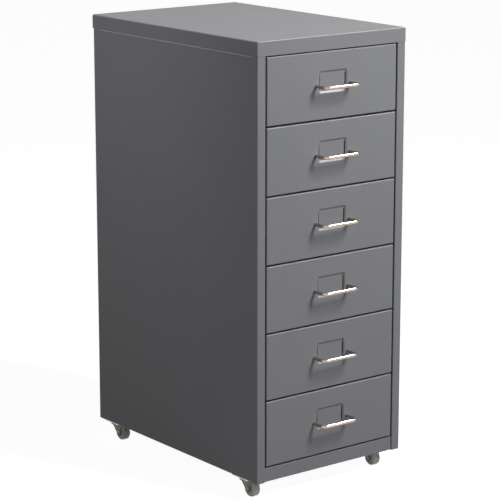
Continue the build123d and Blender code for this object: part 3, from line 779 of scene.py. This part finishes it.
def fork_leg(axle, offset, root, root_z):
    """One leg: the hull of a foot round the axle and a root along the crown, with a ribbed outside."""
    castor = bpy.context.scene.cabinet_castor
    centre_x = axle.x + offset
    outward = math.copysign(1, offset)
    start_clean()
    bpy.ops.mesh.primitive_cylinder_add(
        vertices=48, radius=castor.foot, depth=castor.leg,
        location=(centre_x, axle.y, axle.z), rotation=(0, math.pi / 2, 0))
    leg = settle("fork_leg")
    root_place = (centre_x, (root[0] + root[1]) / 2, root_z)
    bpy.ops.mesh.primitive_plane_add(size=1, location=root_place)
    bpy.ops.transform.resize(value=(castor.leg, root[1] - root[0], 1), center_override=root_place)
    bpy.ops.mesh.select_all(action="SELECT")
    bpy.ops.mesh.convex_hull()
    bpy.ops.mesh.select_all(action="SELECT")
    bpy.ops.mesh.dissolve_limited(angle_limit=math.radians(1))
    pick("faces", lambda face: face.normal.x * outward > 0.9)
    bpy.ops.mesh.inset(thickness=castor.leg_rib)
    bpy.ops.mesh.inset(thickness=castor.leg_hollow / 2, depth=-castor.leg_hollow)
    close(leg)
    return leg


def rivet_axle():
    """The front left axle: a pin with a domed, hollow-ended head outside each leg."""
    castor = bpy.context.scene.cabinet_castor
    centre = middle(AXLE)
    head_radius = extent(AXLE).z / 2
    half = extent(AXLE).x / 2 - castor.axle_head
    start_clean()
    bpy.ops.mesh.primitive_cylinder_add(
        vertices=32, radius=castor.axle / 2, depth=2 * half, location=centre, rotation=(0, math.pi / 2, 0))
    piece = settle("riveted_axle_front_left")
    for sign in (-1, 1):
        pick("faces", lambda face: face.normal.x * sign > 0.9)
        radius = castor.axle / 2
        end = (centre.x + sign * half, centre.y, centre.z)
        for rise, share in AXLE_HEAD_STEPS:
            extrude((sign * castor.axle_head * rise, 0, 0))
            grow = head_radius * share / radius
            radius = head_radius * share
            bpy.ops.transform.resize(value=(1, grow, grow), center_override=end)
    close(piece)
    return piece


def castor_matrix(node, corner):
    """Moves a piece of the front left castor to another corner."""
    home = middle(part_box(f"castor_{node}_front_left"))
    away = middle(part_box(f"castor_{node}_{corner}"))
    return Matrix.Translation(away - home)


def place_castor_pieces(pattern, node, label, finish, slot):
    """Copies a piece of the front left castor to all four corners and hands each over."""
    for corner in CORNERS:
        cad_node = f"castor_{node}_{corner}"
        piece = copy_piece(pattern, f"{label}_{corner}", castor_matrix(node, corner))
        hand_over(piece, finish, slot, body_with(cad_node), cad_node)
    bpy.data.objects.remove(pattern)


# ---------------------------------------------------------------- operators
class CABINET_OT_coat_casing(Operator):
    """Coats the casing's panels and the drawers"""

    bl_idname = "cabinet.coat_casing"
    bl_label = "Coat casing and drawers"

    def execute(self, context):
        nodes = frame["nodes"]
        coat = powder_coat("powder_coat_grey")
        names = ["left_side_panel", "right_side_panel", "back_panel", "base_panel"]
        names += [f"drawer_{part}_{number}" for number in DRAWERS for part in ("front", "tray")]
        coat.coat(*[nodes[name] for name in names])
        powder_coat("powder_coat_hood", tab_lines=True).coat(nodes["top_panel"])
        return {"FINISHED"}


class CABINET_OT_plate_fittings(Operator):
    """Gives the runners and castor plates their zinc plating"""

    bl_idname = "cabinet.plate_fittings"
    bl_label = "Plate runners and castor plates"

    def execute(self, context):
        nodes = frame["nodes"]
        names = [f"{side}_runner_{number}" for side in ("left", "right") for number in DRAWERS]
        names += [f"castor_plate_{corner}" for corner in CORNERS]
        zinc_plate().coat(*[nodes[name] for name in names])
        return {"FINISHED"}


class CABINET_OT_bend_handles(Operator):
    """Models the six wire handles"""

    bl_idname = "cabinet.bend_handles"
    bl_label = "Bend handles"

    def execute(self, context):
        finish = bright_nickel()
        pattern = bend_handle()
        for number in DRAWERS:
            node = f"handle_{number}"
            move = Matrix.Translation(middle(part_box(node)) - middle(HANDLE))
            piece = copy_piece(pattern, f"bent_handle_{number}", move)
            hand_over(piece, finish, "bright_nickel", body_with(node), node)
        bpy.data.objects.remove(pattern)
        return {"FINISHED"}


class CABINET_OT_drive_screws(Operator):
    """Models the screws of the back panel, the castors and the handles"""

    bl_idname = "cabinet.drive_screws"
    bl_label = "Drive screws"

    def execute(self, context):
        finish = zinc_plate()
        groups = {"panel_screws": (0, -1, 0), "castor_screws": (0, 0, 1)}
        for node, inward in groups.items():
            piece = screw_group(node, f"recessed_{node}", inward)
            hand_over(piece, finish, "zinc_steel", body_with(node), node)
        for number in DRAWERS:
            node = f"handle_screws_{number}"
            piece = screw_group(node, f"recessed_{node}", (0, -1, 0))
            hand_over(piece, finish, "zinc_steel", body_with(node), node)
        return {"FINISHED"}


class CABINET_OT_mould_wheels(Operator):
    """Models the four castor wheels"""

    bl_idname = "cabinet.mould_wheels"
    bl_label = "Mould wheels"

    def execute(self, context):
        colour = context.scene.cabinet_castor.wheel_colour
        finish = moulded_plastic("wheel_plastic_pale", colour, 0.5)
        place_castor_pieces(mould_wheel(), "wheel", "moulded_wheel", finish, "wheel_plastic")
        return {"FINISHED"}


class CABINET_OT_mould_forks(Operator):
    """Models the four castor forks"""

    bl_idname = "cabinet.mould_forks"
    bl_label = "Mould forks"

    def execute(self, context):
        colour = context.scene.cabinet_castor.fork_colour
        finish = moulded_plastic("fork_plastic_smoky", colour, 0.38, Transmission_Weight=0.35)
        place_castor_pieces(mould_fork(), "fork", "moulded_fork", finish, "fork_plastic")
        return {"FINISHED"}


class CABINET_OT_rivet_axles(Operator):
    """Models the four riveted axles"""

    bl_idname = "cabinet.rivet_axles"
    bl_label = "Rivet axles"

    def execute(self, context):
        # The axles get darkened zinc: painted shade of the axle holes.
        finish = zinc_plate("dark_zinc", context.scene.cabinet_castor.axle_painted_shade)
        place_castor_pieces(rivet_axle(), "axle", "riveted_axle", finish, "zinc_steel")
        return {"FINISHED"}


CAMERA_PLACE = (-1.9511, -2.5220, 1.0771)
CAMERA_YAW = math.radians(37.710)       # from +Y towards +X
CAMERA_PITCH = math.radians(13.135)     # below the horizon
PHOTO_PIXELS = 500
FOCAL_PIXELS = 2100.96
FLOOR_SIZE = 60.0
VIEW_DEPTH = 60.0

# Near lamps: where each stands, what it is aimed at, and its width and height.
KEY_LAMP = ((0.50, -1.33, 1.55), (0, HOOD[0].y, 0.55), (0.5, 0.7))
SIDE_LAMP = ((-1.30, 0.25, 1.05), (HOOD[0].x, 0.1, 0.70), (0.3, 0.3))
SIDE_LAMP_SPREAD = math.radians(50)
LOW_LAMP = ((-0.75, -0.95, 0.10), (HOOD[0].x, -0.1, 0.01), (0.4, 0.12))

# Where the camera sees the folded edges shine from: the front's upper edges, and the left side's step.
FRONT_EDGE_SHINE = (0.596, -0.227, 0.771)
SIDE_EDGE_SHINE = (-0.418, 0.771, 0.482)
EDGE_LAMP_REACH = 4.0
EDGE_LAMP_SIZE = (1.1, 1.1)


def seen_rays(tree):
    """1 for the rays that see the background, and 0 for the light that it throws."""
    path = Signal(tree).node("ShaderNodeLightPath", output="Is Camera Ray")
    outputs = path.socket.node.outputs
    glossy = Signal(tree, outputs["Is Glossy Ray"])
    through = Signal(tree, outputs["Is Transmission Ray"])
    return path.larger(glossy).larger(through)


def add_lamp(name, place, target, size, power):
    """A rectangular soft lamp aimed at a place."""
    lamp = bpy.data.lights.new(name, "AREA")
    lamp.shape = "RECTANGLE"
    lamp.size, lamp.size_y = size
    lamp.energy = power
    holder = bpy.data.objects.new(name, lamp)
    bpy.context.collection.objects.link(holder)
    holder.location = place
    holder.rotation_euler = (Vector(target) - Vector(place)).to_track_quat("-Z", "Y").to_euler()
    return holder


class CABINET_OT_set_stage(Operator):
    """Adds the floor, the light and the camera"""

    bl_idname = "cabinet.set_stage"
    bl_label = "Set stage"

    def execute(self, context):
        stage = context.scene.cabinet_stage
        scene = context.scene
        self.lay_floor(stage)
        self.light_world(scene, stage)
        add_lamp("key_lamp", *KEY_LAMP, stage.key_power)
        side_lamp = add_lamp("side_lamp", *SIDE_LAMP, stage.side_power)
        side_lamp.data.spread = SIDE_LAMP_SPREAD
        add_lamp("low_lamp", *LOW_LAMP, stage.low_power)
        for name, toward, power in (
                ("front_edge_lamp", FRONT_EDGE_SHINE, stage.front_edge_power),
                ("side_edge_lamp", SIDE_EDGE_SHINE, stage.side_edge_power)):
            target = middle(CAD_BOX)
            place = target + EDGE_LAMP_REACH * Vector(toward)
            lamp = add_lamp(name, place, target, EDGE_LAMP_SIZE, power)
            lamp.visible_diffuse = False
        camera = bpy.data.cameras.new("camera")
        camera.sensor_width = 36
        camera.lens = camera.sensor_width * FOCAL_PIXELS / PHOTO_PIXELS
        camera.clip_end = VIEW_DEPTH
        holder = bpy.data.objects.new("camera", camera)
        context.collection.objects.link(holder)
        holder.location = CAMERA_PLACE
        holder.rotation_euler = (math.pi / 2 - CAMERA_PITCH, 0, -CAMERA_YAW)
        scene.camera = holder
        scene.view_settings.view_transform = "Standard"
        return {"FINISHED"}

    def lay_floor(self, stage):
        """A wide pale floor, lifted to white where it is seen, that keeps the shadow."""
        start_clean()
        bpy.ops.mesh.primitive_plane_add(size=FLOOR_SIZE, location=(0, 0, 0))
        floor = bpy.context.object
        floor.name = "studio_floor"
        material = bpy.data.materials.new("studio_floor")
        material.use_nodes = True
        tree = material.node_tree
        tree.nodes.remove(tree.nodes["Principled BSDF"])
        tone = (stage.floor_tone,) * 3
        start = Signal(tree)
        grain = start.node("ShaderNodeTexCoord", output="Object").noise(40.0)
        shaded = grain.blend(shade(tone, 0.99), shade(tone, 1.01))
        plain = start.node("ShaderNodeBsdfDiffuse", sockets={"Color": shaded})
        glow = start.node("ShaderNodeEmission", sockets={"Color": (1, 1, 1, 1), "Strength": stage.glow})
        seen = start.node("ShaderNodeAddShader", sockets={0: plain, 1: glow})
        result = start.node("ShaderNodeMixShader", sockets={0: seen_rays(tree), 1: plain, 2: seen})
        tree.links.new(result.socket, tree.nodes["Material Output"].inputs["Surface"])
        floor.data.materials.append(material)

    def light_world(self, scene, stage):
        """A white surround where it is seen, and a plain soft light elsewhere."""
        world = bpy.data.worlds.new("studio")
        world.use_nodes = True
        scene.world = world
        tree = world.node_tree
        background = tree.nodes["Background"]
        background.inputs["Color"].default_value = (1, 1, 1, 1)
        seen = seen_rays(tree)
        strength = seen + (1 - seen) * stage.ambient
        tree.links.new(strength.socket, background.inputs["Strength"])


class CABINET_PT_sidebar(Panel):
    """Lists the steps and settings of the cabinet"""

    bl_idname = "CABINET_PT_sidebar"
    bl_label = "Drawer cabinet"
    bl_space_type = "VIEW_3D"
    bl_region_type = "UI"
    bl_category = "Cabinet"

    def draw(self, context):
        for operator in OPERATORS:
            self.layout.operator(operator.bl_idname)
        for name, group in SETTINGS.items():
            box = self.layout.box()
            box.label(text=group.__doc__)
            for setting in group.__annotations__:
                box.prop(getattr(context.scene, name), setting)


OPERATORS = (
    CABINET_OT_coat_casing,
    CABINET_OT_plate_fittings,
    CABINET_OT_bend_handles,
    CABINET_OT_drive_screws,
    CABINET_OT_mould_wheels,
    CABINET_OT_mould_forks,
    CABINET_OT_rivet_axles,
    CABINET_OT_set_stage,
)
CLASSES = tuple(SETTINGS.values()) + OPERATORS + (CABINET_PT_sidebar,)


def register():
    for item in CLASSES:
        bpy.utils.register_class(item)
    for name, group in SETTINGS.items():
        setattr(bpy.types.Scene, name, PointerProperty(type=group))


def unregister():
    for name in SETTINGS:
        delattr(bpy.types.Scene, name)
    for item in reversed(CLASSES):
        bpy.utils.unregister_class(item)


def main():
    """Runs every step in order."""
    register()
    bpy.ops.cabinet.coat_casing()
    bpy.ops.cabinet.plate_fittings()
    bpy.ops.cabinet.bend_handles()
    bpy.ops.cabinet.drive_screws()
    bpy.ops.cabinet.mould_wheels()
    bpy.ops.cabinet.mould_forks()
    bpy.ops.cabinet.rivet_axles()
    bpy.ops.cabinet.set_stage()


if __name__ == "__main__":
    main()
